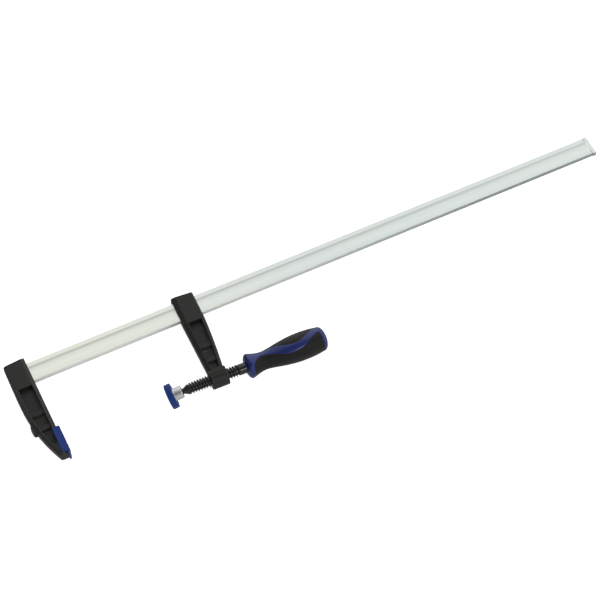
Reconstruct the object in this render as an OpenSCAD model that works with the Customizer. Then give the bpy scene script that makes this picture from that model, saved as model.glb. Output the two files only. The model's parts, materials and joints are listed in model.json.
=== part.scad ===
// F clamp with a sliding arm, a screw handle and a swivel pad.
//
// Axes: +X runs along the bar from the fixed jaw to the free end, +Z is the normal of the bar's
// wide face, and the jaws reach from the bar toward -Y. The origin is the centre of the fixed
// jaw's clamping face. Every length is in millimetres.

/* [Bar] */
// Width of the flat bar
bar_w = 25; // [20:0.5:40]
// Thickness of the bar at its two rails
bar_t = 6; // [5:0.5:12]
// Length of bar from the fixed jaw's clamping face to the free end
bar_free = 723.5; // [300:0.5:1200]
// Width of the dished groove along both wide faces
groove_w = 12.6; // [6:0.2:20]
// Depth of the groove in the middle of the bar
groove_d = 0.8; // [0.2:0.1:1.5]
// Chamfer along the four long edges
bar_chamfer = 0.8; // [0.2:0.1:1.5]
// Length of the stamped stop at the free end
stop_len = 5.5; // [3:0.5:12]
// How far the stop bulges past each edge of the bar
stop_bulge = 1.1; // [0.5:0.1:2]

/* [Jaws] */
// Distance from the screw axis to the middle of the bar
reach = 97.5; // [60:0.5:160]
// Thickness of both cast arms
arm_t = 16; // [12:0.5:24]
// Height of the upright band left between the two bevels of an arm
band_t = 9; // [6:0.5:14]
// Iron beyond the far edge of the bar
arm_over = 5.6; // [2.5:0.1:8]
// Thickness of the web at the floor of the pockets
web_t = 4; // [2.5:0.5:8]
// Height of the stiffening ribs above the web
rib_h = 3; // [1:0.1:4]

/* [Fixed jaw] */
// Depth of the fixed jaw along the bar
jaw_depth = 25.4; // [20:0.2:35]
// Where the flat end of the nose sits, below the clamping face centre
nose_y = -16.4; // [-20:0.2:-10]
// How far the cast lug stands off the back
lug_out = 3.2; // [1:0.1:5]

/* [Jaw cap] */
// Length of the plastic cap along the jaw
cap_len = 35; // [25:0.5:50]
// Thickness of the cap in front of the iron
cap_front = 3; // [1.5:0.1:5]
// Thickness of the cap's side flanges
cap_wall = 1.2; // [0.8:0.1:2.5]
// How far the flanges reach back from the clamping face
cap_depth = 8.7; // [6:0.1:14]

/* [Sliding arm] */
// Where the middle of the arm sits along the bar
arm_x = 187.7; // [90:0.1:700]
// Lean of the loose arm on the bar, in degrees
arm_lean = 2.0; // [0:0.1:2.2]
// Depth of the sliding arm along the bar
arm_depth = 26.2; // [20:0.2:35]
// Size of the bar slot across the bar
slot_w = 26.6; // [25.5:0.1:29]
// Size of the bar slot through the thickness
slot_t = 7; // [6.4:0.1:9]
// Outside diameter of the boss round the screw
boss_d = 21.6; // [18:0.2:28]
// Length of the boss
boss_len = 19.4; // [14:0.2:30]

/* [Screw] */
// Outside diameter of the thread
thread_d = 14; // [10:0.5:18]
// Root diameter of the thread
root_d = 10.8; // [8:0.1:15]
// Distance from one thread crest to the next
pitch = 3.25; // [2:0.25:5]
// Clearance on the radius between the thread and its bore
screw_fit = 0.06; // [0.02:0.01:0.1]
// Diameter of the plain shank between the thread and the handle
shank_d = 12.6; // [9:0.1:14]
// Distance from the arm's middle back to the ball of the swivel pad
ball_back = 50.4; // [40:0.2:80]
// Diameter of the ball at the tip of the screw
ball_d = 9.8; // [8:0.1:12]
// Diameter of the neck behind the ball
neck_d = 6.6; // [5:0.1:8]

/* [Swivel pad] */
// Diameter of the plastic pad cap
pad_d = 29; // [22:0.5:40]
// Thickness of the plastic pad cap
pad_t = 7.2; // [5:0.1:12]
// Outside diameter of the metal socket
socket_d = 14.6; // [13.6:0.1:18]
// How far the socket reaches behind the ball
socket_back = 5; // [4:0.1:7]
// Tilt of the pad on its ball, in degrees
pad_tilt = 13.6; // [0:0.1:14.5]
// Direction of that tilt round the screw, in degrees
pad_clock = 11; // [-180:1:180]

/* [Handle] */
// Distance from the arm's middle to the front of the handle
handle_start = 30.3; // [20:0.5:60]
// Length of the handle
handle_len = 98.5; // [80:0.5:140]
// Radius of the handle's front collar
collar_r = 14.35; // [10:0.1:18]
// Radius of the handle at its neck
waist_r = 10.65; // [8:0.1:14]
// Radius of the handle at its swell
swell_r = 16.15; // [12:0.1:20]
// Radius of the handle where the end dome begins
end_r = 14.3; // [10:0.1:18]
// Thickness of the soft grip panels
grip_t = 2; // [1:0.1:3]
// Turn of the handle round the screw, in degrees
handle_clock = -87; // [-180:1:180]

/* [Hidden] */

fine = 64;
eps = 0.01;
half_t = arm_t / 2;
half_band = band_t / 2;
jaw_front = -cap_front;
jaw_back = jaw_front - jaw_depth;
top_y = reach + bar_w / 2 + arm_over;
bar_tail = jaw_back + 1.0;
arm_front = -arm_depth / 2;
arm_back = arm_depth / 2;
arm_top = slot_w / 2 + 3.7;
boss_x = arm_front + 1.4;
thread_from = -ball_back + 12.4;
thread_to = 22;
grip_from = 7.4;
grip_to = 91;

zinc = [0.82, 0.84, 0.83];
iron = [0.16, 0.16, 0.15];
blue = [0.13, 0.2, 0.5];
black = [0.1, 0.1, 0.1];
steel = [0.2, 0.19, 0.18];

// ---------------------------------------------------------------------------------------
// Outlines

// The inward normal of one edge of a counter-clockwise outline.
function edge_n(a, b) = let(d = b - a, l = norm(d)) [-d[1] / l, d[0] / l];

// The point where two neighbouring edges meet after both have moved inward.
function meet(p, n1, d1, n2, d2) =
    let(c = n1 * n2, k = 1 - c * c)
    k < 0.0001 ? p + n1 * (d1 + d2) / 2
               : p + n1 * ((d1 - c * d2) / k) + n2 * ((d2 - c * d1) / k);

// The same outline with each edge moved in by the matching distance.
function inset(pts, d) =
    [for (i = [0 : len(pts) - 1])
        let(n = len(pts), a = pts[(i + n - 1) % n], b = pts[i], c = pts[(i + 1) % n])
        meet(b, edge_n(a, b), d[(i + n - 1) % n], edge_n(b, c), d[i])];

function at_z(pts, z) = [for (p = pts) [p[0], p[1], z]];

// A slab with an upright band in the middle and a bevel above and below it.
module bevelled(pts, bevel, h = half_t, band = half_band) {
    n = len(pts);
    small = inset(pts, bevel);
    rings = [at_z(small, -h), at_z(pts, -band), at_z(pts, band), at_z(small, h)];
    points = [for (r = rings) each r];
    walls = [for (k = [0 : 2], i = [0 : n - 1])
        let(a = k * n + i, b = k * n + (i + 1) % n) each [[a, a + n, b + n], [a, b + n, b]]];
    polyhedron(points = points, faces = concat(walls,
        [[for (i = [0 : n - 1]) i], [for (i = [n - 1 : -1 : 0]) 3 * n + i]]), convexity = 6);
}

// Back edge of the fixed jaw: upright at the bar, then sweeping in to the nose.
jaw_sweep = 66 - nose_y;
function jaw_back_x(y) = jaw_back - 0.5 + (y > 66 ? 0 : 16.6 * pow((66 - y) / jaw_sweep, 2.15));

jaw_outline = concat(
    [[jaw_front, nose_y], [jaw_front - 0.4, top_y + 1], [jaw_back, top_y - 1], [jaw_back - 0.5, 74]],
    [for (i = [1 : 14]) let(y = 66 - jaw_sweep * i / 14) [jaw_back_x(y), y]]);
jaw_bevel = [for (i = [0 : len(jaw_outline) - 1])
    i == 0 ? 4.2 : i == 1 ? 1.2 : i == len(jaw_outline) - 1 ? 0.8 : 2.6];

// Back edge of the sliding arm: upright at the bar, then sweeping in to the boss.
function arm_back_x(y) = arm_back + 0.2 - (y > -14 ? 0 : 6.3 * pow((-14 - y) / 76, 1.6));

arm_outline = concat([[arm_back_x(-90), -reach]],
    [for (i = [11 : -1 : 1]) let(y = -14 - 76 * i / 11) [arm_back_x(y), y]],
    [[arm_back + 0.2, -14], [arm_back, arm_top - 0.3], [arm_front, arm_top + 1.2], [arm_front, -16],
     [arm_front + 1.9, -reach]]);
arm_bevel = [for (i = [0 : len(arm_outline) - 1])
    i < 13 ? 1.6 : i == 13 ? 1.2 : i < 16 ? 5 : 0.1];

// Handle radius at a distance s from its front.
function ease(t, k) = (1 - cos(180 * pow(t, k))) / 2;
function handle_r(s) =
    s < 5 ? 5.35 + (collar_r - 5.35) * sqrt(max(0, 1 - pow((5 - s) / 5, 2)))
    : s < 23 ? collar_r - (collar_r - waist_r) * ease((s - 5) / 18, 0.65)
    : s < 69 ? waist_r + (swell_r - waist_r) * ease((s - 23) / 46, 0.72)
    : s < 91 ? swell_r - (swell_r - end_r) * pow((s - 69) / 22, 2)
    : end_r * sqrt(max(0, 1 - pow((s - 91) / (handle_len - 91), 2.4)));

// The blue stripe wanders round the handle: its middle line and half its width, in degrees.
function stripe_mid(s) =
    s < 20 ? 30 - (20 - s) * 1.4
    : s < 57 ? 30 - 50 * ease((s - 20) / 37, 0.88)
    : -20 + 55 * ease((s - 57) / 38, 1.25);
function stripe_half(s) =
    s < 17 ? 21 + 0.35 * pow(17 - s, 2)
    : s < 32 ? 21 + 4 * ease((s - 17) / 15, 1)
    : 25 - 9 * ease(min(1, (s - 32) / 38), 0.85) + 0.25 * max(0, s - 80);

// ---------------------------------------------------------------------------------------
// Placing

// Everything that leans with the arm is drawn about the middle of its slot.
module on_arm() { translate([arm_x, reach, 0]) rotate([0, 0, -arm_lean]) children(); }
// Along the screw: +Z becomes the direction from the pad to the handle, from the slot's middle.
module on_screw(u = 0) { on_arm() translate([u, -reach, 0]) rotate([0, 90, 0]) children(); }
// Along the pad's own axis: the centre of the ball is the origin, +Z points to the handle.
module on_pad() {
    on_arm() translate([-ball_back, -reach, 0]) rotate([pad_clock, 0, 0])
        rotate([0, -pad_tilt, 0]) rotate([0, 90, 0]) children();
}

// ---------------------------------------------------------------------------------------
// Pieces

// Half of the bar's section, upper side, with rails beside a shallow dish.
module bar_section() {
    w = bar_w / 2; t = bar_t / 2; g = groove_w / 2; c = bar_chamfer;
    dish = [for (i = [-6 : 6]) [g * i / 6, t - groove_d * (1 - pow(i / 6, 4))]];
    under = [for (i = [6 : -1 : -6]) [g * i / 6, -t + groove_d * (1 - pow(i / 6, 4))]];
    polygon(concat([[-w, t - c], [-w + c, t]], dish, [[w - c, t], [w, t - c],
        [w, -t + c], [w - c, -t]], under, [[-w + c, -t], [-w, -t + c]]));
}

module bar() color(zinc) {
    translate([0, reach, 0]) {
        translate([bar_tail, 0, 0]) rotate([90, 0, 90])
            linear_extrude(bar_free - stop_len - bar_tail) bar_section();
        // the stamped stop: thinner than the rails and wider than the bar
        x0 = bar_free - stop_len - eps; x1 = bar_free; w = bar_w / 2; b = w + stop_bulge;
        h = bar_t - 2 * groove_d + 0.2;
        translate([0, 0, -h / 2]) linear_extrude(h)
            polygon([[x0, -w], [x0 + 1.4, -b], [x1 - 1.6, -b], [x1, -b + 2], [x1, b - 2],
                     [x1 - 1.6, b], [x0 + 1.4, b], [x0, w]]);
    }
}

module jaw_pocket() {
    left = [for (i = [0 : 12]) let(y = 78.5 - 79 * i / 12)
        [jaw_back_x(y) + 4.1 + 0.9 * pow(1 - i / 12, 3), y]];
    polygon(concat(left, [[-11.4, -2.8], [-9, -0.5], [-8, 8], [-8, 78.5]]));
}

module jaw_body() {
    bevelled(jaw_outline, jaw_bevel);
    // cast lug on the back
    translate([jaw_back_x(27) - lug_out, 0, -5.4]) linear_extrude(10.8)
        polygon([[8, 21.4], [1.8, 21.8], [0.6, 23], [-0.2, 30], [2.2, 36], [8, 36]]);
}

module rib(x0, x1, y0, y1) {
    for (s = [-1, 1]) scale([1, 1, s]) translate([x0, 0, 0]) rotate([90, 0, 90])
        linear_extrude(x1 - x0) polygon([[y0 - 2, 0], [y0 - 2, web_t / 2 - eps],
            [y0, web_t / 2 + rib_h], [y1, web_t / 2 + rib_h], [y1 + 2, web_t / 2 - eps],
            [y1 + 2, 0]]);
}

module fixed_jaw() color(iron) {
    difference() {
        union() {
            difference() {
                jaw_body();
                for (s = [-1, 1]) scale([1, 1, s]) translate([0, 0, web_t / 2])
                    linear_extrude(half_t) jaw_pocket();
            }
            intersection() {
                jaw_body();
                union() { rib(-27, -6, 41.3, 46.3); rib(-27, -6, 21.3, 26.8); }
            }
        }
        // the bar is pressed through this hole
        translate([jaw_back - 3, reach - bar_w / 2, -bar_t / 2])
            cube([jaw_depth + 6, bar_w, bar_t]);
    }
}

module jaw_cap() color(blue) {
    difference() {
        intersection() {
            translate([-cap_depth, -cap_len / 2, -half_t - cap_wall])
                cube([cap_depth, cap_len, arm_t + 2 * cap_wall]);
            // rounded corners seen from the side of the jaw
            translate([0, 0, -half_t - 2]) linear_extrude(arm_t + 4)
                polygon([[0, -cap_len / 2 + 2.2], [0, cap_len / 2 - 1.6],
                         [-0.5, cap_len / 2 - 0.5], [-1.6, cap_len / 2],
                         [-cap_depth + 0.8, cap_len / 2], [-cap_depth, cap_len / 2 - 0.8],
                         [-cap_depth, -cap_len / 2 + 0.6], [-cap_depth + 0.6, -cap_len / 2],
                         [-2.4, -cap_len / 2], [-0.8, -cap_len / 2 + 0.7]]);
            // edges eased where the front meets the flanges
            rotate([90, 0, 0]) translate([0, 0, -cap_len]) linear_extrude(2 * cap_len)
                polygon([[-20, -half_t - cap_wall], [-1, -half_t - cap_wall],
                         [0, -half_t - cap_wall + 1], [0, half_t + cap_wall - 1],
                         [-1, half_t + cap_wall], [-20, half_t + cap_wall]]);
        }
        bevelled(jaw_outline, jaw_bevel);
        // the flanges stop short of the end of the nose; only the front plate runs past it
        translate([-20, -cap_len, -half_t - 5])
            cube([20 - cap_front, cap_len + nose_y + 1.3, arm_t + 10]);
    }
}

module arm_pocket() {
    right = [for (i = [0 : 10]) let(y = -88.6 + 67 * i / 10) [arm_back_x(y) - 4.5, y]];
    polygon(concat([[arm_front + 5.8, -21.6], [arm_front + 6.2, -88.6]], right));
}

module sliding_arm() color(iron) on_arm() {
    difference() {
        union() {
            difference() {
                bevelled(arm_outline, arm_bevel);
                for (s = [-1, 1]) scale([1, 1, s]) translate([0, 0, web_t / 2])
                    linear_extrude(half_t) arm_pocket();
            }
            intersection() {
                bevelled(arm_outline, arm_bevel);
                union() {
                    rib(arm_front + 4, arm_back, -57.3, -51.8);
                    rib(arm_front + 4, arm_back, -76.8, -71.2);
                }
            }
            // the boss, and the ledge where the arm swells to meet it
            translate([boss_x, -reach, 0]) rotate([0, 90, 0])
                cylinder(h = boss_len, d = boss_d, $fn = fine);
            translate([boss_x, 0, 0]) rotate([90, 0, 90]) linear_extrude(boss_len)
                polygon([[-89.2, -half_t + 0.4], [-92.4, -boss_d / 2 - 0.8],
                         [-95.4, -boss_d / 2 - 1], [-96.4, -boss_d / 2 + 0.3],
                         [-96.4, boss_d / 2 - 0.3], [-95.4, boss_d / 2 + 1],
                         [-92.4, boss_d / 2 + 0.8], [-89.2, half_t - 0.4]]);
        }
        // slot for the bar
        translate([arm_front - 5, -slot_w / 2, -slot_t / 2])
            cube([arm_depth + 10, slot_w, slot_t]);
        // the screw's bore, eased at both ends
        translate([boss_x - 1, -reach, 0]) rotate([0, 90, 0]) {
            cylinder(h = boss_len + 2, r = thread_d / 2 + screw_fit, $fn = fine);
            for (z = [0, boss_len + 0.2]) translate([0, 0, z]) cylinder(h = 1.8, $fn = fine,
                r1 = thread_d / 2 + (z > 0 ? 0.06 : 1.6), r2 = thread_d / 2 + (z > 0 ? 1.6 : 0.06));
        }
    }
}

module spindle() color(steel) on_screw() {
    a = thread_d / 2; r = root_d / 2; n = neck_d / 2; b = ball_d / 2;
    crests = floor((thread_to - thread_from) / pitch);
    grooves = [for (i = [0 : crests - 1]) let(z = thread_from + pitch * i + 0.3)
        each [[a, z], [a, z + 0.5], [r, z + 1.5], [r, z + 2.3], [a, z + 3.3]]];
    rotate_extrude($fn = fine)
        polygon(concat(
            [[0, -ball_back], [n, -ball_back], [n, -ball_back + 6.6],
             [a - 0.8, thread_from - 0.2]],
            grooves,
            [[a, thread_to - 0.6], [shank_d / 2, thread_to], [shank_d / 2, handle_start + 12],
             [4.5, handle_start + 12], [4.5, handle_start + 78], [3.5, handle_start + 80],
             [0, handle_start + 80]]));
    translate([0, 0, -ball_back]) sphere(r = b, $fn = fine);
}

module ball_ring() color(steel) on_screw(-ball_back) {
    ri = ball_d / 2 + 0.05; ro = ball_d / 2 + 1.0;
    intersection() {
        difference() {
            sphere(r = ro, $fn = fine);
            sphere(r = ri, $fn = fine);
        }
        translate([0, 0, -2.2]) cylinder(h = 4.8, r = 10, $fn = fine);
    }
}

module pad_socket() color(zinc) on_pad() {
    cup = ball_d / 2 + 1.1; plate_r = pad_d / 2 - 2; w = socket_d / 2;
    back = -4.5; front = back - pad_t;
    difference() {
        rotate_extrude($fn = fine) polygon([[0, front + 2.5], [plate_r, front + 2.5],
            [plate_r, back - 1.2], [w, back - 1.2], [w, socket_back - 0.6],
            [w - 0.6, socket_back], [0, socket_back]]);
        intersection() {
            sphere(r = cup, $fn = fine);
            translate([0, 0, -ball_d / 2 - 0.08]) cylinder(h = 20, r = 20, $fn = fine);
        }
        translate([0, 0, 1]) cylinder(h = 10, r = 5.15, $fn = fine);
        translate([0, 0, socket_back - 0.5]) cylinder(h = 1, r1 = 5.15, r2 = 5.8, $fn = fine);
    }
}

module pad_cap() color(blue) on_pad() {
    r = pad_d / 2; back = -4.5; front = back - pad_t;
    rotate_extrude($fn = 96) polygon([[0, front], [r - 0.8, front], [r, front + 0.8],
        [r, back - 0.6], [r - 0.6, back], [socket_d / 2 + 0.3, back],
        [socket_d / 2 + 0.3, back - 1.2], [r - 2, back - 1.2], [r - 2, front + 2.5],
        [0, front + 2.5]]);
}

// Solid of revolution between two distances along the handle, at a depth below its surface.
module handle_slice(s0, s1, steps, deep = 0) {
    rotate_extrude($fn = 72) polygon(concat([[0, s0]],
        [for (i = [0 : steps]) let(s = s0 + (s1 - s0) * i / steps) [max(0.3, handle_r(s) - deep), s]],
        [[0, s1]]));
}

// Where an angle round the handle lands when seen square on.
function seen(s, a) = [-handle_r(s) * sin(a), s];
stripe_s = [for (i = [0 : 26]) grip_from - 1 + (grip_to - grip_from + 2) * i / 26];

// The outline of one blue stripe, pushed outward through the grip.
module stripe_block() {
    rotate([90, 0, 0]) linear_extrude(30) polygon(concat(
        [for (s = stripe_s) seen(s, stripe_mid(s) - stripe_half(s))],
        [for (i = [26 : -1 : 0]) let(s = stripe_s[i]) seen(s, stripe_mid(s) + stripe_half(s))]));
}

// Everything on one side of a stripe's middle line, over the half of the handle it faces.
module beside_stripe(side) {
    rotate([90, 0, 0]) linear_extrude(30) polygon(concat(
        [for (s = stripe_s) seen(s, stripe_mid(s))], [[30 * side, grip_to + 1],
        [30 * side, grip_from - 1]]));
}

module on_handle() { on_screw(handle_start) rotate([0, 0, handle_clock]) children(); }

// Both grips at once. A proud one is a cutter that leaves no skin over them.
module grip_shape(proud = 0) {
    difference() {
        handle_slice(grip_from, grip_to, 30, -proud);
        handle_slice(grip_from - 1, grip_to + 1, 30, grip_t);
        stripe_block();
        rotate([0, 0, 180]) stripe_block();
    }
}

// The stripes part that shape into two grips, each lying between one stripe and the other.
module grip_half() {
    intersection() {
        grip_shape();
        union() {
            beside_stripe(1);
            rotate([0, 0, 180]) beside_stripe(-1);
        }
    }
}

module handle_core() color(blue) on_handle() {
    difference() {
        handle_slice(0, handle_len - 0.02, 64);
        grip_shape(1);
        translate([0, 0, -1]) cylinder(h = 13, d = shank_d, $fn = fine);
        translate([0, 0, 11.9]) cylinder(h = 68.1, r = 4.5, $fn = fine);
    }
}

module grip_panel_1() color(black) on_handle() grip_half();
module grip_panel_2() color(black) on_handle() rotate([0, 0, 180]) grip_half();

bar();
fixed_jaw();
jaw_cap();
sliding_arm();
spindle();
ball_ring();
pad_socket();
pad_cap();
handle_core();
grip_panel_1();
grip_panel_2();
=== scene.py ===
# %% [markdown]
# # An F clamp, from bare model to finished look
# The clamp is a flat zinc-plated bar with a cast jaw pressed on one end, a cast arm that slides along
# it, a black screw with a two-colour handle, and a swivel pad. Its engineering model fixes every size
# and every joint. Here each part gets the rounded edges, threads and finishes that make it look real.
# Loading the frame comes first, so that nothing has to be placed by eye.

# %% Load the frame
import json
import math

import bmesh
import bpy
from mathutils import Matrix, Vector


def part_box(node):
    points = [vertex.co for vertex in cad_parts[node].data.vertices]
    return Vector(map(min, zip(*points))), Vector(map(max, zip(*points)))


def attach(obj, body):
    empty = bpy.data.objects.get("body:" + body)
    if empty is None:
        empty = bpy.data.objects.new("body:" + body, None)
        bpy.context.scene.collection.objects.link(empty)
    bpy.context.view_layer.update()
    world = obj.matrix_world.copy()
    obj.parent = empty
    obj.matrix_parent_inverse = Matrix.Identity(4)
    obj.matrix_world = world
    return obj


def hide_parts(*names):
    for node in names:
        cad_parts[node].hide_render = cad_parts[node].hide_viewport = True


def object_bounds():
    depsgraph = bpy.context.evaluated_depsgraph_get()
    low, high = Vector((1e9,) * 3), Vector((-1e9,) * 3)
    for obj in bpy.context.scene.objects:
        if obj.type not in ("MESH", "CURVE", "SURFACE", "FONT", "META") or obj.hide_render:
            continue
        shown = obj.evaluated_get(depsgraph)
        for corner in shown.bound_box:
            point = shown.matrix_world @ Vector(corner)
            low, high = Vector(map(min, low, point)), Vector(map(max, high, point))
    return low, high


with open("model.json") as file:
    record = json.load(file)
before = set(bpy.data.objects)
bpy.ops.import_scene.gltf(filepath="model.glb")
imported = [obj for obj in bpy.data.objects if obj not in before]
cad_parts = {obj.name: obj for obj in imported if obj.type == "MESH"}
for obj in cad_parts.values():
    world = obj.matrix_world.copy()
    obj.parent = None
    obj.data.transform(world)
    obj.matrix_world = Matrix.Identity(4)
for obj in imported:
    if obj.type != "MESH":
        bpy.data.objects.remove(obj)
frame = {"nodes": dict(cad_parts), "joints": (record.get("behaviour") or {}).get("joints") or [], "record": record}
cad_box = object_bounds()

print("nodes:", ", ".join(sorted(frame["nodes"])))
print("box in mm:", [[round(v * 1000, 1) for v in corner] for corner in cad_box])

# %% [markdown]
# ## Places
# Every length below is in millimetres and is turned into metres as a mesh is made. The joints and
# the mounts of the record give the screw's axis, the ball's centre and the way the pad faces. A
# matrix built from them lets each turned piece be drawn upright at the origin and then carried over.

# %% The screw's axis and the pad's axis
MM = 0.001
joints = {j["name"]: j for j in frame["joints"]}
mounts = {m["name"]: m for m in frame["record"]["mounts"]}
DOWN = Vector((0, 0, -1))


def stand(along, at, side=DOWN):
    """A place whose z axis runs along, with x as near as it can be to side."""
    z = Vector(along).normalized()
    x = (Vector(side) - z * z.dot(Vector(side))).normalized()
    place = Matrix((x, z.cross(x), z)).transposed().to_4x4()
    place.translation = Vector(at)
    return place


screw_place = stand(joints["screw_turn"]["axis"], joints["screw_turn"]["pos_m"])
pad_place = stand(-Vector(mounts["pad_face"]["axis"]), joints["pad_tilt"]["pos_m"])


def along_screw(u, turn=0):
    """The place u millimetres along the screw, measured from the middle of the arm."""
    return screw_place @ Matrix.Translation((0, 0, u * MM)) @ Matrix.Rotation(math.radians(turn), 4, "Z")


print("screw runs", [round(v, 4) for v in screw_place.col[2]])
print("pad faces", [round(-v, 4) for v in pad_place.col[2]])

# %% [markdown]
# ## Helpers for meshes
# Most pieces are a row of closed rings joined by four-sided faces. One function skins any such row.
# A turned piece is the same thing with every ring a circle. Real corners are never sharp, so an
# outline goes through `eased` first, which swaps each corner for a small arc.

# %% Skin a row of rings
def skinned(name, rings, capped=True):
    """A mesh through rings of points in millimetres, each ring with the same number of points."""
    bm = bmesh.new()
    rows = [[bm.verts.new(Vector(p) * MM) for p in ring] for ring in rings]
    count = len(rows[0])
    for near, far in zip(rows, rows[1:]):
        for i in range(count):
            j = (i + 1) % count
            bm.faces.new((near[i], near[j], far[j], far[i]))
    if capped:
        bm.faces.new(rows[0][::-1])
        bm.faces.new(rows[-1])
    bmesh.ops.remove_doubles(bm, verts=bm.verts, dist=0.0005 * MM)
    bmesh.ops.dissolve_degenerate(bm, edges=bm.edges, dist=0.0005 * MM)
    bmesh.ops.recalc_face_normals(bm, faces=bm.faces)
    mesh = bpy.data.meshes.new(name)
    bm.to_mesh(mesh)
    bm.free()
    return mesh


def turned(name, outline, around=72):
    """A solid of revolution about z from an outline of (radius, height) points."""
    spokes = [(math.cos(a), math.sin(a)) for a in (math.tau * i / around for i in range(around))]
    return skinned(name, [[(r * c, r * s, z) for c, s in spokes] for r, z in outline], capped=False)


# %% Ease the corners of an outline
def eased(corners, steps=5):
    """Swaps each (r, z, radius) corner of an open outline for an arc of that radius."""
    path = []
    for i, (r, z, radius) in enumerate(corners):
        here = Vector((r, z))
        if not radius:
            path.append((r, z))
            continue
        back = (Vector(corners[i - 1][:2]) - here).normalized()
        ahead = (Vector(corners[i + 1][:2]) - here).normalized()
        half = back.angle(ahead) / 2
        centre = here + (back + ahead).normalized() * radius / math.sin(half)
        start = here + back * radius / math.tan(half) - centre
        end = here + ahead * radius / math.tan(half) - centre
        for k in range(steps + 1):
            path.append(tuple(centre + start.slerp(end, k / steps).normalized() * radius))
    return path


def smooth(t):
    """Runs from 0 to 1 with a level start and end."""
    t = min(max(t, 0), 1)
    return t * t * (3 - 2 * t)


# %% Put a piece in the scene
def fit(name, mesh, finish, body, slot, *nodes, place=None, crease=38):
    """Makes an object of a mesh, gives it its finish, and hands it to the body that carries it."""
    if place is not None:
        mesh.transform(place)
    mesh.materials.clear()
    mesh.materials.append(finish)
    for face in mesh.polygons:
        face.use_smooth = True
    mesh.set_sharp_from_angle(angle=math.radians(crease))
    piece = bpy.data.objects.new(name, mesh)
    bpy.context.scene.collection.objects.link(piece)
    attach(piece, body)
    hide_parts(*nodes)
    print(f"{name}: {len(mesh.polygons)} faces, riding on {body}")
    return piece


# %% [markdown]
# ## Helpers for finishes
# Three effects are node groups, each made once and placed wherever it is needed: a fine grain, the
# long streaks that rolling leaves on metal, and a mask for outside edges, for wear and on the castings
# a painted highlight, with its opposite, painted shade in inner corners. A group only gives out masks
# and heights. The shader itself stays in the material, with its constant values typed into its own sockets.

# %% Start a node group
def new_group(name, inputs, outputs):
    """An empty shader group with named sockets. Returns it with its input and output nodes."""
    group = bpy.data.node_groups.new(name, "ShaderNodeTree")
    for label, kind, value in inputs:
        socket = group.interface.new_socket(label, in_out="INPUT", socket_type=kind)
        if value is not None:
            socket.default_value = value
    for label in outputs:
        group.interface.new_socket(label, in_out="OUTPUT", socket_type="NodeSocketFloat")
    return group, group.nodes.new("NodeGroupInput"), group.nodes.new("NodeGroupOutput")


def noise(nodes, links, where, scale, detail):
    """A noise texture. The scale may be a number or another node's output."""
    node = nodes.new("ShaderNodeTexNoise")
    node.inputs["Detail"].default_value = detail
    node.inputs["Roughness"].default_value = 0.55
    if isinstance(scale, (int, float)):
        node.inputs["Scale"].default_value = scale
    else:
        links.new(scale, node.inputs["Scale"])
    links.new(where, node.inputs["Vector"])
    return node.outputs["Fac"]


def span(nodes, links, value, low, high, to_low=0, to_high=1):
    """Stretches a value's range, smoothly and within its limits."""
    node = nodes.new("ShaderNodeMapRange")
    node.interpolation_type = "SMOOTHSTEP"
    for label, number in zip(("From Min", "From Max", "To Min", "To Max"), (low, high, to_low, to_high)):
        node.inputs[label].default_value = number
    links.new(value, node.inputs["Value"])
    return node.outputs["Result"]


def sums(nodes, links, how, a, b):
    """One sum, product or power of two values, each a number or another node's output."""
    node = nodes.new("ShaderNodeMath")
    node.operation = how
    for socket, value in zip(node.inputs, (a, b)):
        if isinstance(value, (int, float)):
            socket.default_value = value
        else:
            links.new(value, socket)
    return node.outputs[0]


# %% Fine grain
def make_grain():
    """Grain at one scale with soft clouds ten times its size."""
    group, into, out = new_group(
        "fine grain",
        [("Vector", "NodeSocketVector", None), ("Scale", "NodeSocketFloat", 1000.0)],
        ["Height", "Clouds"],
    )
    nodes, links = group.nodes, group.links
    fine = noise(nodes, links, into.outputs["Vector"], into.outputs["Scale"], detail=4)
    broad = sums(nodes, links, "MULTIPLY", into.outputs["Scale"], 0.07)
    links.new(fine, out.inputs["Height"])
    clouds = noise(nodes, links, into.outputs["Vector"], broad, detail=2)
    links.new(span(nodes, links, clouds, 0.3, 0.7), out.inputs["Clouds"])
    return group


# %% Long streaks
def make_streaks():
    """Streaks drawn out along x, for metal that was rolled that way."""
    group, into, out = new_group(
        "long streaks",
        [("Vector", "NodeSocketVector", None), ("Scale", "NodeSocketFloat", 900.0)],
        ["Streaks", "Tint"],
    )
    nodes, links = group.nodes, group.links
    pulled = []
    for squeeze in ((0.012, 1, 1), (0.05, 0.5, 0.5)):
        node = nodes.new("ShaderNodeVectorMath")
        node.operation = "MULTIPLY"
        node.inputs[1].default_value = squeeze
        links.new(into.outputs["Vector"], node.inputs[0])
        pulled.append(node.outputs[0])
    links.new(noise(nodes, links, pulled[0], into.outputs["Scale"], 4), out.inputs["Streaks"])
    broad = sums(nodes, links, "MULTIPLY", into.outputs["Scale"], 0.22)
    links.new(span(nodes, links, noise(nodes, links, pulled[1], broad, 2), 0.35, 0.65), out.inputs["Tint"])
    return group
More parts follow.
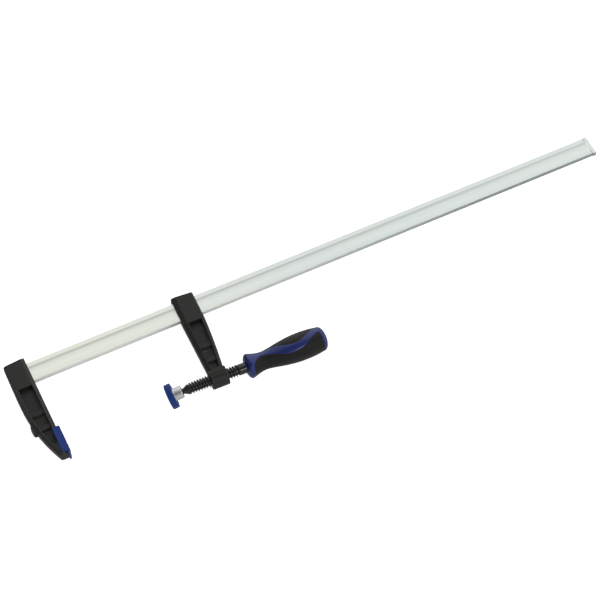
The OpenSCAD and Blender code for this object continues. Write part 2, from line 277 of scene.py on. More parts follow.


# %% Edge wear, highlight and crevice shade
def make_edge_wear_and_shade():
    """Marks outside edges, broken up by a noise, for wear and painted highlight, and inner corners for painted
    shade.
    """
    group, into, out = new_group(
        "edge wear, highlight and crevice shade",
        [("Vector", "NodeSocketVector", None), ("Start", "NodeSocketFloat", 0.52),
         ("Full", "NodeSocketFloat", 0.6)],
        ["Mask", "Crevice shade"],
    )
    nodes, links = group.nodes, group.links
    shape = nodes.new("ShaderNodeNewGeometry")
    edge = nodes.new("ShaderNodeMapRange")
    edge.interpolation_type = "SMOOTHSTEP"
    links.new(shape.outputs["Pointiness"], edge.inputs["Value"])
    links.new(into.outputs["Start"], edge.inputs["From Min"])
    links.new(into.outputs["Full"], edge.inputs["From Max"])
    broken = span(nodes, links, noise(nodes, links, into.outputs["Vector"], 260, 4), 0.3, 0.62, 0.25, 1)
    links.new(sums(nodes, links, "MULTIPLY", edge.outputs["Result"], broken), out.inputs["Mask"])
    # painted shade in inner corners, where Pointiness is low
    links.new(span(nodes, links, shape.outputs["Pointiness"], 0.495, 0.46), out.inputs["Crevice shade"])
    return group


GRAIN, STREAKS, EDGE_WEAR_AND_SHADE = make_grain(), make_streaks(), make_edge_wear_and_shade()
print("effects:", GRAIN.name, "/", STREAKS.name, "/", EDGE_WEAR_AND_SHADE.name)


# %% A finish with its shader
class Finish:
    """A material under construction: its nodes, its links, its shader and its object coordinates."""

    def __init__(self, name, **constants):
        self.material = bpy.data.materials.new(name)
        self.material.use_nodes = True
        self.nodes, self.links = self.material.node_tree.nodes, self.material.node_tree.links
        self.shader = next(n for n in self.nodes if n.type == "BSDF_PRINCIPLED")
        self.where = self.nodes.new("ShaderNodeTexCoord").outputs["Object"]
        for label, value in constants.items():
            self.shader.inputs[label.replace("_", " ")].default_value = value

    def effect(self, group, **values):
        """Places a group with its own values."""
        node = self.nodes.new("ShaderNodeGroup")
        node.node_tree = group
        self.links.new(self.where, node.inputs["Vector"])
        for label, value in values.items():
            node.inputs[label].default_value = value
        return node.outputs

    def between(self, mask, low, high):
        """Mixes two colours, each a tuple or another node's colour, by a mask."""
        node = self.nodes.new("ShaderNodeMix")
        node.data_type = "RGBA"
        self.links.new(mask, node.inputs["Factor"])
        for label, colour in (("A", low), ("B", high)):
            socket = next(s for s in node.inputs if s.name == label and s.type == "RGBA")
            if isinstance(colour, tuple):
                socket.default_value = (*colour, 1)
            else:
                self.links.new(colour, socket)
        return next(s for s in node.outputs if s.type == "RGBA")

    def ramp(self, value, low, high, to_low=0, to_high=1):
        """The same as span, inside this material."""
        return span(self.nodes, self.links, value, low, high, to_low, to_high)

    def ramp_mm(self, value, low, high):
        """A mask that runs from 0 to 1 between two places given in millimetres."""
        return self.ramp(value, low * MM, high * MM)

    def maths(self, how, a, b=0):
        """The same as sums, inside this material."""
        return sums(self.nodes, self.links, how, a, b)

    def colour(self, output):
        self.links.new(output, self.shader.inputs["Base Color"])

    def roughness(self, value, low, high):
        self.links.new(self.ramp(value, 0, 1, low, high), self.shader.inputs["Roughness"])

    def relief(self, height, depth):
        """Bumps the surface by a height, depth being in millimetres."""
        bump = self.nodes.new("ShaderNodeBump")
        bump.inputs["Distance"].default_value = depth * MM
        self.links.new(height, bump.inputs["Height"])
        self.links.new(bump.outputs["Normal"], self.shader.inputs["Normal"])


# %% [markdown]
# ## Zinc plate
# The bar is hot-rolled, then plated with zinc and passivated, so it is bright but milky. It has faint
# green and blue tints, turns paler and warmer toward the jaw, and has rolling streaks along its length.
# Its narrow edges carry painted reflection and shade: pale beside the jaw and a duller blue-grey toward
# the free end. The masks come from how far a point lies from the bar's middle line and how far along it is.

# %% The bar's own sizes
bar_low, bar_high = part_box("bar")
BAR_MID_Y = (bar_low.y + bar_high.y) / 2
BAR_END = bar_high.x / MM
BAR_W, BAR_T = 25, 6
GROOVE = 6.3
STRUCK_FROM = BAR_END - 5.5
print("bar ends at", round(BAR_END, 1), "and is struck from", round(STRUCK_FROM, 1))


# %% The colour of the bar's faces
def rolled_face(f, streaks, along, across):
    """Cool milky zinc, paler and warmer toward the jaw, with a thin band of painted shade just inside the groove's
    edge.
    """
    cool = f.between(streaks["Tint"], (0.67, 0.735, 0.73), (0.735, 0.755, 0.71))
    straw = f.between(f.ramp(along, 0.4, 0.0), cool, (0.92, 0.92, 0.76))
    milky = f.between(streaks["Streaks"], (0.66, 0.71, 0.69), straw)
    # painted shade: a thin darker band just inside the groove's edge
    groove_edge_shade = f.ramp_mm(across, GROOVE + 0.9, GROOVE - 0.3)
    inner = f.ramp(across, (GROOVE - 2.2) * MM, (GROOVE - 0.8) * MM, 0, 0.5)
    return f.between(f.maths("MULTIPLY", groove_edge_shade, inner), milky, (0.66, 0.72, 0.70))


def step_shade_mask(f, along, across):
    """A mask for painted shade at the small step where the press struck the rails beside the groove."""
    near = f.ramp_mm(along, STRUCK_FROM - 0.9, STRUCK_FROM - 0.3)
    past = f.ramp_mm(along, STRUCK_FROM + 0.9, STRUCK_FROM + 0.3)
    rails = f.ramp_mm(across, GROOVE - 1, GROOVE)
    return f.maths("MULTIPLY", f.maths("MULTIPLY", near, past), rails)


# %% The zinc on the bar
# the narrow edges' colours are painted reflection and shade: pale near the jaw, a duller blue-grey toward the free
# end
SIDE_SHADE_SPAN = (0.15, 0.62)
SIDE_PAINTED_LIGHT, SIDE_PAINTED_SHADE, STEP_SHADE, LOWER_CORNER_SHADE = (
    (0.92, 0.93, 0.92), (0.38, 0.42, 0.43), (0.34, 0.36, 0.34), (0.05, 0.055, 0.055))


def zinc_plate():
    f = Finish("zinc plate", Metallic=0.82)
    streaks = f.effect(STREAKS, Scale=900.0)
    grain = f.effect(GRAIN, Scale=2600.0)
    split = f.nodes.new("ShaderNodeSeparateXYZ")
    f.links.new(f.where, split.inputs[0])
    along, height = split.outputs["X"], split.outputs["Z"]
    across = f.maths("ABSOLUTE", f.maths("SUBTRACT", split.outputs["Y"], BAR_MID_Y))

    far = f.ramp(along, *SIDE_SHADE_SPAN)
    narrow = f.ramp_mm(across, BAR_W / 2 - 0.5, BAR_W / 2 - 0.12)
    face = rolled_face(f, streaks, along, across)
    # narrow edges: painted reflection near the jaw, painted shade toward the free end
    side_shaded = f.between(narrow, face, f.between(far, SIDE_PAINTED_LIGHT, SIDE_PAINTED_SHADE))
    # painted shade at the step where the rails were struck down
    step_shaded = f.between(step_shade_mask(f, along, across), side_shaded, STEP_SHADE)

    # painted shade along the bar's lower rounded corners, strongest at the jaw end and gone past the middle
    low_edge = f.maths("MULTIPLY", f.ramp_mm(height, -1.9, -2.3), f.ramp_mm(height, -2.99, -2.9))
    lower_corner_shade = f.maths("MULTIPLY", low_edge, f.ramp(far, 0, 1, 0.7, 0))
    f.colour(f.between(lower_corner_shade, step_shaded, LOWER_CORNER_SHADE))
    f.roughness(streaks["Streaks"], 0.3, 0.46)
    f.relief(f.maths("ADD", streaks["Streaks"], f.maths("MULTIPLY", grain["Height"], 0.5)), 0.015)
    return f.material


ZINC = zinc_plate()
print("made", ZINC.name)

# %% [markdown]
# ## Cast iron under powder coat
# Both jaws are malleable iron castings with a satin black powder coat. The coat has a fine orange
# peel. Outside edges are painted paler, a little wear and a painted highlight, and inner corners get
# painted shade. A low specular level keeps the black deep under a bright sky.

# %% The black coat on the castings
def powder_coat():
    f = Finish("black powder coat", Specular_IOR_Level=0.3)
    grain = f.effect(GRAIN, Scale=1500.0)
    edges_worn_and_shaded = f.effect(EDGE_WEAR_AND_SHADE, Start=0.505, Full=0.55)
    base = f.between(grain["Clouds"], (0.0125, 0.0125, 0.0115), (0.0185, 0.018, 0.0165))
    # painted shade in inner corners
    deep = f.between(edges_worn_and_shaded["Crevice shade"], base, (0.004, 0.004, 0.004))
    # outside edges painted paler: a little wear and a painted highlight
    f.colour(f.between(edges_worn_and_shaded["Mask"], deep, (0.062, 0.06, 0.058)))
    f.roughness(grain["Clouds"], 0.42, 0.54)
    f.relief(grain["Height"], 0.05)
    return f.material


COAT = powder_coat()
print("made", COAT.name)


# %% [markdown]
# ## Moulded plastics
# The jaw cap and the pad cap are a clear royal blue polyethylene. The handle's core is a deeper blue
# polypropylene, moulded glossier, and its grips are a soft black rubber-like plastic shot round it.
# All three have the same build: a faint cloud in the colour, a spark-eroded grain in the surface, and
# paler outside edges. One function makes them from their own values.

# %% The plastics
def moulded(name, dark, light, edge, shine, grain_scale, grain_depth, **constants):
    f = Finish(name, **constants)
    grain = f.effect(GRAIN, Scale=grain_scale)
    edges_worn_and_shaded = f.effect(EDGE_WEAR_AND_SHADE, Start=0.52, Full=0.66)
    f.colour(f.between(edges_worn_and_shaded["Mask"], f.between(grain["Clouds"], dark, light), edge))
    f.roughness(grain["Clouds"], *shine)
    f.relief(grain["Height"], grain_depth)
    return f.material


CAP_BLUE = moulded(
    "royal blue cap", dark=(0.009, 0.035, 0.195), light=(0.013, 0.041, 0.212), edge=(0.026, 0.062, 0.27),
    shine=(0.42, 0.5), grain_scale=2200.0, grain_depth=0.02, Specular_IOR_Level=0.22)
HANDLE_BLUE = moulded(
    "handle blue", dark=(0.005, 0.012, 0.112), light=(0.006, 0.014, 0.12), edge=(0.012, 0.022, 0.17),
    shine=(0.25, 0.29), grain_scale=1800.0, grain_depth=0.003, Specular_IOR_Level=0.75,
    Specular_Tint=(0.6, 0.66, 1.0, 1))
GRIP_BLACK = moulded(
    "soft grip", dark=(0.0045, 0.0045, 0.0048), light=(0.007, 0.0067, 0.0065), edge=(0.014, 0.0135, 0.013),
    shine=(0.46, 0.54), grain_scale=1400.0, grain_depth=0.02, Specular_IOR_Level=0.22,
    Sheen_Weight=0.12, Sheen_Roughness=0.5, Sheen_Tint=(1.0, 0.85, 0.7, 1))
print("made", CAP_BLUE.name, "/", HANDLE_BLUE.name, "/", GRIP_BLACK.name)


# %% [markdown]
# ## Screw and ferrule
# The screw is cold-rolled steel with an oily black oxide, glossier than the castings and slightly
# brown where it is bare of oil. The pad's ferrule is bright zinc plate on a deep-drawn cup, so it
# mirrors the studio in soft bands.

# %% The bright and black steels
def black_oxide():
    f = Finish("black oxide", Metallic=0.15, Specular_IOR_Level=0.45, Coat_Weight=0.3, Coat_Roughness=0.06)
    grain = f.effect(GRAIN, Scale=1700.0)
    edges_worn_and_shaded = f.effect(EDGE_WEAR_AND_SHADE, Start=0.54, Full=0.7)
    base = f.between(grain["Clouds"], (0.0035, 0.0033, 0.0035), (0.012, 0.009, 0.007))
    f.colour(f.between(edges_worn_and_shaded["Mask"], base, (0.03, 0.028, 0.027)))
    f.roughness(grain["Clouds"], 0.16, 0.26)
    f.relief(grain["Height"], 0.006)
    return f.material


def bright_zinc():
    f = Finish("bright zinc", Metallic=1.0)
    grain = f.effect(GRAIN, Scale=1200.0)
    edges_worn_and_shaded = f.effect(EDGE_WEAR_AND_SHADE, Start=0.52, Full=0.62)
    base = f.between(grain["Clouds"], (0.56, 0.58, 0.56), (0.66, 0.67, 0.64))
    f.colour(f.between(edges_worn_and_shaded["Mask"], base, (0.78, 0.79, 0.78)))
    f.roughness(grain["Clouds"], 0.16, 0.26)
    f.relief(grain["Height"], 0.006)
    return f.material


OXIDE, BRIGHT = black_oxide(), bright_zinc()
print("made", OXIDE.name, "/", BRIGHT.name)

# %% [markdown]
# ## The bar
# A plain box would miss what makes this bar an F clamp's: two flat rails beside a shallow rolled
# groove, softly rounded corners, and a free end that was struck in a press so that the metal bulges
# past both edges and the arm can't slide off. The section is drawn once, point by point across the
# width, and repeated at stations along the length. At the end each station is struck a little more.

# %% One section of the bar
DISH = 0.8
CORNER = 0.8
STRUCK_HALF = 2.3
BULGE = 1.1


def upper_face():
    """Points (y, z) over the top of the bar, from its far edge to its near one."""
    w, t = BAR_W / 2, BAR_T / 2
    corner = [(w - CORNER + CORNER * math.cos(a), t - CORNER + CORNER * math.sin(a))
              for a in (math.radians(15 * i) for i in range(7))]
    rail = [(w - 2.5, t), (GROOVE + 1.2, t), (GROOVE + 0.7, t - 0.01), (GROOVE + 0.3, t - 0.035)]
    dish = [(GROOVE * q, t - 0.08 - (DISH - 0.08) * (1 - q ** 2.6)) for q in (1 - i / 12 for i in range(12))]
    half = corner + rail + dish
    return half + [(0, t - DISH)] + [(-y, z) for y, z in half[::-1]]


def struck(y, z, bulge):
    """Where a point of the section goes under the press."""
    w = BAR_W / 2
    if abs(y) > GROOVE:
        side = math.copysign(1, y)
        out = (abs(y) - GROOVE) / (w - GROOVE)
        y = side * (GROOVE + out * (w + bulge - GROOVE))
        z *= STRUCK_HALF / (BAR_T / 2)
    return y, math.copysign(min(abs(z), STRUCK_HALF), z)


def bar_ring(x):
    """The section at x, with the press's work and the rounded end worked in."""
    top = upper_face()
    ring = top + [(y, -z) for y, z in top[::-1]]
    press = smooth((x - STRUCK_FROM) / 0.5)
    bulge = BULGE * smooth((x - STRUCK_FROM) / 1.6)
    turn, lip = 1.9, 0.45
    cut = turn - math.sqrt(max(0, turn ** 2 - max(0, x - BAR_END + turn) ** 2))
    flat = lip - math.sqrt(max(0, lip ** 2 - max(0, x - BAR_END + lip) ** 2))
    points = []
    for y, z in ring:
        ys, zs = struck(y, z, bulge)
        y, z = y + (ys - y) * press, z + (zs - z) * press
        reach = BAR_W / 2 + bulge
        y *= (reach - cut) / reach
        z *= 1 - flat / STRUCK_HALF
        points.append((x, y + BAR_MID_Y / MM, z))
    return points


# %% The whole bar
bar_stations = [bar_low.x / MM, 0, 180, 360, 540, 700, STRUCK_FROM - 1.5]
bar_stations += [STRUCK_FROM + 0.1 * i for i in range(6)]
bar_stations += [STRUCK_FROM + 0.5 + 1.3 * i / 6 for i in range(1, 7)]
bar_stations += [BAR_END - 1.9 * (1 - i / 12) ** 1.6 for i in range(13)]
fit("bar_body", skinned("bar_body", [bar_ring(x) for x in bar_stations]), ZINC,
    "frame", "zinc_bar", "bar", crease=30)


# %% [markdown]
# ## The castings
# Iron poured into sand has no sharp corners. The engineering model of each jaw has the right pockets,
# ribs, bevels and holes, but with knife edges. Wrapping a copy in a fine skin of equal cells and
# relaxing that skin rounds all of its edges and fillets at once, as a casting's are. The skin has far
# more faces than it needs, so flat areas are thinned out afterwards.

# %% Round a copy of a node the way casting would
def cast_from(node, cell, relax, keep, name):
    """A rounded copy of a CAD node: cell is the skin's cell in mm, relax how often the skin is eased,
    keep the share of its faces that stay."""
    mesh = frame["nodes"][node].data.copy()
    bm = bmesh.new()
    bm.from_mesh(mesh)
    bmesh.ops.remove_doubles(bm, verts=bm.verts, dist=0.001 * MM)
    bm.to_mesh(mesh)
    bm.free()
    rough = bpy.data.objects.new("rough " + name, mesh)
    bpy.context.scene.collection.objects.link(rough)
    skin = rough.modifiers.new("skin", "REMESH")
    skin.mode, skin.voxel_size = "VOXEL", cell * MM
    ease = rough.modifiers.new("ease", "SMOOTH")
    ease.factor, ease.iterations = 0.5, relax
    thin = rough.modifiers.new("thin", "DECIMATE")
    thin.ratio = keep
    graph = bpy.context.evaluated_depsgraph_get()
    made = bpy.data.meshes.new_from_object(rough.evaluated_get(graph))
    bpy.data.objects.remove(rough)
    made.name = name
    return made


# %% The fixed jaw and the sliding arm
fit("fixed_jaw_casting", cast_from("fixed_jaw", 0.26, 2, 0.25, "fixed_jaw_casting"), COAT,
    "frame", "black_iron", "fixed_jaw", crease=60)
fit("sliding_arm_casting", cast_from("sliding_arm", 0.26, 2, 0.25, "sliding_arm_casting"), COAT,
    "arm", "black_iron", "sliding_arm", crease=60)

# %% [markdown]
# ## The jaw cap
# A soft blue shoe pushed over the nose of the fixed jaw keeps the work from being marked. Its walls
# are thin, so its skin needs smaller cells than the castings do.

# %% The cap on the fixed jaw
fit("jaw_cap_shoe", cast_from("jaw_cap", 0.18, 4, 0.3, "jaw_cap_shoe"), CAP_BLUE,
    "frame", "blue_cap", "jaw_cap", crease=60)

# %% [markdown]
# ## The screw
# A real thread is one ridge that winds round the core, which a stack of rings can't show. Here the
# radius is a formula of both the height and the angle, so the crest climbs one pitch in each turn. It
# fades in at the cone and out at the plain shank, as a rolled thread does.

# %% The shape of the screw
PITCH = 3.25
CREST, ROOT, SHANK = 7.0, 4.95, 6.3
BALL_AT, BALL, NECK = -50.4, 4.9, 3.3
CONE_FROM, CONE_TO, CONE_END = -43.8, -38.4, 6.1
THREAD_FROM, THREAD_TO = -38.0, 22.0
FADE = 0.2
SCREW_END = 42.2


def core_radius(u):
    """Radius of the screw between its threads."""
    if u < CONE_FROM:
        return NECK
    if u < CONE_TO:
        return NECK + (CONE_END - NECK) * ((u - CONE_FROM) / (CONE_TO - CONE_FROM)) ** 1.15
    if u < THREAD_TO - 2:
        return CONE_END - (CONE_END - ROOT) * smooth((u - CONE_TO) / 1.6)
    return ROOT + (SHANK - ROOT) * smooth((u - THREAD_TO + 2) / 2)


def screw_radius(u, angle):
    """Radius at a height and an angle, thread included."""
    base = core_radius(u)
    if not THREAD_FROM - FADE < u < THREAD_TO + FADE:
        return base
    phase = ((u - THREAD_FROM) / PITCH - angle / math.tau) % 1
    off_crest = abs(phase - 0.5)
    ridge = 1 - smooth((off_crest - 0.06) / 0.2)
    fade = smooth((u - THREAD_FROM + FADE) / 1.3) * smooth((THREAD_TO + FADE - u) / 1.8)
    return base + (CREST - base) * ridge * fade


# %% The screw with its ball
def screw_mesh(around=64):
    angles = [math.tau * i / around for i in range(around)]
    half_neck = math.asin(NECK / BALL)
    ball = [(BALL * math.sin(a), BALL_AT - BALL * math.cos(a))
            for a in (math.pi * i / 20 for i in range(21)) if a < math.pi - half_neck - 0.05]
    rings = [[(r * math.cos(a), r * math.sin(a), u) for a in angles] for r, u in ball]
    start, length = THREAD_FROM - FADE, THREAD_TO - THREAD_FROM + 2 * FADE
    steps = int(length / 0.2)
    heights = [BALL_AT + BALL * math.cos(half_neck), BALL_AT + 4.6, CONE_FROM]
    heights += [CONE_FROM + (start - CONE_FROM) * i / 14 for i in range(1, 15)]
    heights += [start + length * i / steps for i in range(1, steps + 1)]
    heights += [24.5, 28, SCREW_END]
    rings += [[(screw_radius(u, a) * math.cos(a), screw_radius(u, a) * math.sin(a), u) for a in angles]
              for u in heights]
    return skinned("screw", rings)


fit("screw_spindle", screw_mesh(), OXIDE, "screw", "black_oxide_steel", "spindle",
    place=along_screw(0), crease=50)

# %% [markdown]
# ## The swivel pad
# The pad is a zinc-plated cup and plate that snaps over the ball, with a blue cap moulded round the
# plate. Both are turned shapes, so their outlines are drawn as half sections with eased corners. The
# spring ring inside the cup keeps its engineering shape and only gets a finish.

# %% The metal cup
PAD_R, PAD_T, PAD_BACK = 14.5, 7.2, -4.5
PAD_FACE = PAD_BACK - PAD_T
PLATE_R, PLATE_FACE, PLATE_BACK = PAD_R - 2, PAD_FACE + 2.5, PAD_BACK - 1.2
CUP_R, CUP_BACK, MOUTH, CUP_FLOOR = 7.3, 5.0, 5.15, -4.95

cup_outline = eased([
    (0, PLATE_FACE, 0), (PLATE_R, PLATE_FACE, 0), (PLATE_R, PLATE_BACK, 0),
    (CUP_R + 0.35, PLATE_BACK, 0), (CUP_R + 0.35, PAD_BACK - 0.2, 0.3), (CUP_R, PAD_BACK + 0.5, 0.4),
    (CUP_R, CUP_BACK, 1.1), (MOUTH + 0.5, CUP_BACK, 0.3), (MOUTH, CUP_BACK - 0.7, 0.3), (MOUTH, 2.6, 0),
    (6.05, 0, 0), (MOUTH, -3.1, 0), (3.4, CUP_FLOOR, 0), (0, CUP_FLOOR, 0),
])
fit("pad_cup", turned("pad_cup", cup_outline), BRIGHT, "pad", "bright_zinc", "pad_socket",
    place=pad_place, crease=40)

# %% The cap and the ring
cap_outline = eased([
    (0, PAD_FACE, 0), (PAD_R, PAD_FACE, 1.0), (PAD_R, PAD_BACK, 0.9), (CUP_R + 0.6, PAD_BACK, 0.35),
    (CUP_R + 0.4, PLATE_BACK, 0), (PLATE_R, PLATE_BACK, 0), (PLATE_R, PLATE_FACE, 0), (0, PLATE_FACE, 0),
])
fit("pad_shoe", turned("pad_shoe", cap_outline, 96), CAP_BLUE, "pad", "blue_cap", "pad_cap",
    place=pad_place, crease=40)

ring = frame["nodes"]["ball_ring"]
ring.data.materials.clear()
ring.data.materials.append(OXIDE)
print("ball_ring keeps its shape and takes", OXIDE.name)

# %% [markdown]
# ## The handle
# The handle swells toward the palm, narrows to a waist and flares to a collar. Two blue stripes wander
# along it between two black grips. Every row of the mesh bends with the stripes, so that each colour
# has its own real edge instead of a painted one. The core is one skin whose rows dip under the grips.
# Each grip is a shell that fills one dip, with a rolled rim that leaves a fine groove at the seam.

# %% The handle's outline and the stripes
HANDLE_AT, HANDLE_LEN, HANDLE_TURN = 30.3, 98.5, -87
COLLAR, WAIST, SWELL, END = 14.35, 10.65, 16.15, 14.3
GRIP_FROM, GRIP_TO, GRIP_DEEP = 7.4, 91, 2.0
BORE, BORE_DEEP = 6.33, 11.9


def swing(t, power):
    """Half a wave from 0 to 1, leaning one way or the other with its power."""
    return (1 - math.cos(math.pi * t ** power)) / 2


def handle_r(s):
    """Radius of the handle, s millimetres from its front."""
    if s < 5:
        return 5.35 + (COLLAR - 5.35) * math.sqrt(max(0, 1 - ((5 - s) / 5) ** 2))
    if s < 23:
        return COLLAR - (COLLAR - WAIST) * swing((s - 5) / 18, 0.65)
    if s < 69:
        return WAIST + (SWELL - WAIST) * swing((s - 23) / 46, 0.72)
    if s < GRIP_TO:
        return SWELL - (SWELL - END) * ((s - 69) / 22) ** 2
    return END * math.sqrt(max(0, 1 - ((s - GRIP_TO) / (HANDLE_LEN - GRIP_TO)) ** 2.4))


def stripe(s):
    """The angle of a stripe's middle and half of its width, in degrees."""
    if s < 20:
        middle = 30 - (20 - s) * 1.4
    else:
        middle = 30 - 50 * swing((s - 20) / 37, 0.88) if s < 57 else -20 + 55 * swing((s - 57) / 38, 1.25)
    if s < 17:
        return middle, 21 + 0.35 * (17 - s) ** 2
    if s < 32:
        return middle, 21 + 4 * swing((s - 17) / 15, 1)
    return middle, 25 - 9 * swing(min(1, (s - 32) / 38), 0.85) + 0.25 * max(0, s - 80)


# %% Columns that follow the stripes
ACROSS_STRIPE = [0, 0.03, 0.08, 0.16, 0.3, 0.5, 0.7, 0.84, 0.92, 0.97, 1]
RIM = [0, 0.003, 0.008, 0.015, 0.026, 0.045]
ACROSS_GRIP = RIM + [0.08 + 0.84 * i / 20 for i in range(21)] + [1 - r for r in RIM[::-1]]
ALONG = [0, 0.002, 0.005, 0.009, 0.015, 0.03] + [0.05 + 0.9 * i / 48 for i in range(49)] + \
    [0.97, 0.985, 0.991, 0.995, 0.998, 1]
CORNERS = (3.2, 2.6)


def on_stripe(s, share, side):
    """The angle at a share of a stripe's width."""
    middle, half = stripe(min(max(s, GRIP_FROM), GRIP_TO))
    return middle + (2 * share - 1) * half + 180 * side


def on_grip(s, share, side):
    """The angle at a share of a grip's width."""
    middle, half = stripe(min(max(s, GRIP_FROM), GRIP_TO))
    return middle + half + share * (180 - 2 * half) + 180 * side


def grip_ends(share):
    """Where a grip starts and stops at a share of its width, its four corners rounded."""
    edge = min(share, 1 - share) * 32
    pulls = [c * (1 - math.sqrt(max(0, 1 - (1 - min(edge, c) / c) ** 2))) for c in CORNERS]
    return GRIP_FROM + pulls[0], GRIP_TO - pulls[1]


def polar(r, degrees, s):
    """A point at a radius and an angle, the angle counted from -y toward -x."""
    return -r * math.sin(math.radians(degrees)), -r * math.cos(math.radians(degrees)), s


# %% The blue core
def core_mesh():
    columns = [(kind, share, side) for side in (0, 1) for kind, shares in
               (("stripe", ACROSS_STRIPE), ("grip", ACROSS_GRIP)) for share in shares]
    limits = [grip_ends(share if kind == "grip" else 0) for kind, share, side in columns]
    turn = {"stripe": on_stripe, "grip": on_grip}

    def row(height, radius):
        ring = []
        for (kind, share, side), ends in zip(columns, limits):
            s = height(ends)
            ring.append(polar(radius(s, kind, share), turn[kind](s, share, side), s))
        return ring

    def plain(s, kind, share):
        return handle_r(s)

    def dipped(s, kind, share):
        if kind == "grip":
            return handle_r(s) - GRIP_DEEP
        crown = abs(2 * share - 1)
        return handle_r(s) + 0.03 * (1 - crown ** 3) - 0.2 * crown ** 14

    def hole(s, radius):
        return row(lambda ends: s, lambda s, kind, share: radius)

    rows = [hole(BORE_DEEP, 0.05), hole(BORE_DEEP, BORE), hole(0.35, BORE), hole(0.1, BORE + 0.25)]
    for i in range(1, 17):
        rows.append(row(lambda ends: 0.12 + (ends[0] - 0.12) * (i / 16) ** 1.8, plain))
    for t in ALONG:
        rows.append(row(lambda ends: ends[0] + (ends[1] - ends[0]) * t, dipped))
    for i in range(16):
        rows.append(row(lambda ends: HANDLE_LEN - (HANDLE_LEN - ends[1]) * (1 - i / 16) ** 2, plain))
    rows.append(hole(HANDLE_LEN - 0.002, 0.02))
    return skinned("handle_core", rows)


handle_place = along_screw(HANDLE_AT, HANDLE_TURN)
fit("handle_body", core_mesh(), HANDLE_BLUE, "screw", "blue_handle", "handle_core",
    place=handle_place, crease=48)


# %% The two soft grips
def grip_mesh(side):
    """A shell over one side of the handle: its outside, its inside and the rim between."""
    def outside(share, t):
        start, stop = grip_ends(share)
        s = start + (stop - start) * t
        middle, half = stripe(s)
        wide = math.radians(180 - 2 * half) * handle_r(s)
        edge = min(min(share, 1 - share) * wide, min(t, 1 - t) * (stop - start))
        roll = 0.34 * (1 - min(edge / 0.75, 1)) ** 2
        return s, handle_r(s) - 0.04 - roll

    def ring(t):
        top = [(outside(q, t), q) for q in ACROSS_GRIP]
        under = [((s, handle_r(s) - GRIP_DEEP + 0.02), q) for (s, r), q in top[::-1]]
        return [polar(r, on_grip(s, q, side), s) for (s, r), q in top + under]

    return skinned(f"grip_{side + 1}", [ring(t) for t in ALONG])


for number, side in ((1, 1), (2, 0)):
    fit(f"soft_grip_{number}", grip_mesh(side), GRIP_BLACK, "screw", "soft_grip", f"grip_panel_{number}",
        place=handle_place, crease=48)

# %% [markdown]
# ## Floor, light and camera
# The clamp lies on its side on a plain white floor. A white sky with soft darker patches to the left,
# overhead and in front gives the zinc something to mirror, which is what makes metal read as metal.
# One small soft lamp at the front right adds the highlights on the handle. The floor also glows a
# little, but only where the camera looks straight at it, so it stays white without lighting the clamp.
# The camera looks down at the bar's wide face with a long lens.

# %% The floor
def floor_mesh(size, height):
    bm = bmesh.new()
    bmesh.ops.create_grid(bm, x_segments=1, y_segments=1, size=size,
                          matrix=Matrix.Translation((0.3, 0, height)))
    mesh = bpy.data.meshes.new("floor")
    bm.to_mesh(mesh)
    bm.free()
    return mesh


paper = Finish("white paper", Roughness=1.0, Specular_IOR_Level=0.0, Emission_Strength=0.8)
paper_grain = paper.effect(GRAIN, Scale=400.0)
paper.colour(paper.between(paper_grain["Clouds"], (0.93, 0.93, 0.93), (0.95, 0.95, 0.95)))
looked_at = paper.nodes.new("ShaderNodeLightPath").outputs["Is Camera Ray"]
paper.links.new(paper.between(looked_at, (0, 0, 0), (1, 1, 1)), paper.shader.inputs["Emission Color"])
floor = bpy.data.objects.new("floor", floor_mesh(12, cad_box[0][2] - 0.0003))
floor.data.materials.append(paper.material)
bpy.context.scene.collection.objects.link(floor)
print("floor at", round(floor.data.vertices[0].co.z * 1000, 2), "mm")


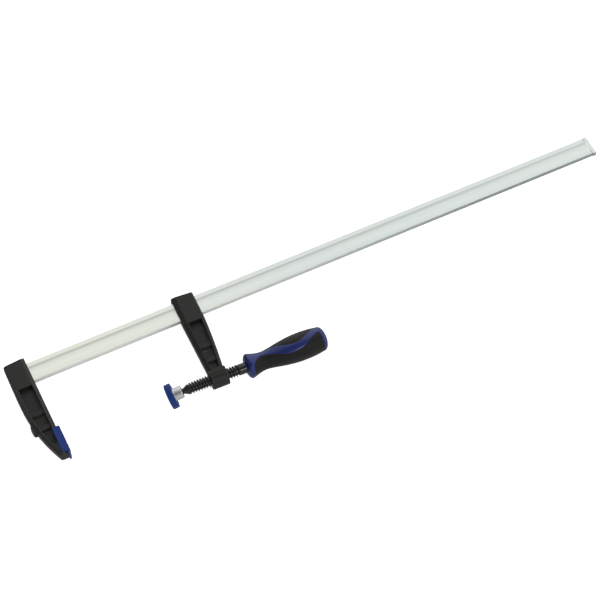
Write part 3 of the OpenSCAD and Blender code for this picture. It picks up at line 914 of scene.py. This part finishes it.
# %% The sky
def studio_sky(bright, patches):
    """A white world with soft darker patches, each a direction, its edge and core, and a level."""
    world = bpy.data.worlds.new("studio sky")
    world.use_nodes = True
    bpy.context.scene.world = world
    nodes, links = world.node_tree.nodes, world.node_tree.links
    look = nodes.new("ShaderNodeTexCoord").outputs["Generated"]
    level = bright
    for toward, edge, core, dim in patches:
        near = nodes.new("ShaderNodeVectorMath")
        near.operation = "DOT_PRODUCT"
        near.inputs[1].default_value = Vector(toward).normalized()
        links.new(look, near.inputs[0])
        shade = span(nodes, links, near.outputs["Value"], edge, core, 1, dim)
        level = sums(nodes, links, "MULTIPLY", level, shade)
    backdrop = next(n for n in nodes if n.type == "BACKGROUND")
    backdrop.inputs["Color"].default_value = (1, 1, 1, 1)
    links.new(level, backdrop.inputs["Strength"])


LEFT_PATCH = ((-0.9, 0.25, 0.35), 0.25, 0.9, 0.25)
OVERHEAD_PATCH = ((0.05, -0.35, 0.93), 0.72, 0.97, 0.3)
FRONT_PATCH = ((0.2, -0.85, 0.5), 0.6, 0.92, 0.5)
studio_sky(1.2, [LEFT_PATCH, OVERHEAD_PATCH, FRONT_PATCH])


# %% The lamp
def soft_lamp(name, at, aim, size, power):
    lamp = bpy.data.lights.new(name, "AREA")
    lamp.shape, lamp.size, lamp.energy = "DISK", size, power
    holder = bpy.data.objects.new(name, lamp)
    holder.matrix_world = stand(Vector(at) - Vector(aim), at)
    bpy.context.scene.collection.objects.link(holder)
    print(name, "at", at)


CLAMP_MIDDLE = (0.3, 0.05, 0)
soft_lamp("front lamp", (0.58, -1.15, 1.02), CLAMP_MIDDLE, 0.3, 3.4)

# %% The camera
YAW, LOOK_DOWN = math.radians(26.13), math.radians(56.95)
CAMERA_AT = Vector((-170.6, -924.2, 1672.55)) * MM
level_look = Vector((math.sin(YAW), math.cos(YAW), 0))
forward = level_look * math.cos(LOOK_DOWN) + DOWN * math.sin(LOOK_DOWN)
right = Vector((math.cos(YAW), -math.sin(YAW), 0))
camera = bpy.data.objects.new("camera", bpy.data.cameras.new("camera"))
camera.matrix_world = stand(-forward, CAMERA_AT, right)
camera.data.lens, camera.data.sensor_width = 104.83, 36
camera.data.clip_end = 50
bpy.context.scene.collection.objects.link(camera)
bpy.context.scene.camera = camera
bpy.context.scene.view_settings.view_transform = "Standard"
print("camera at", [round(v, 3) for v in camera.location])
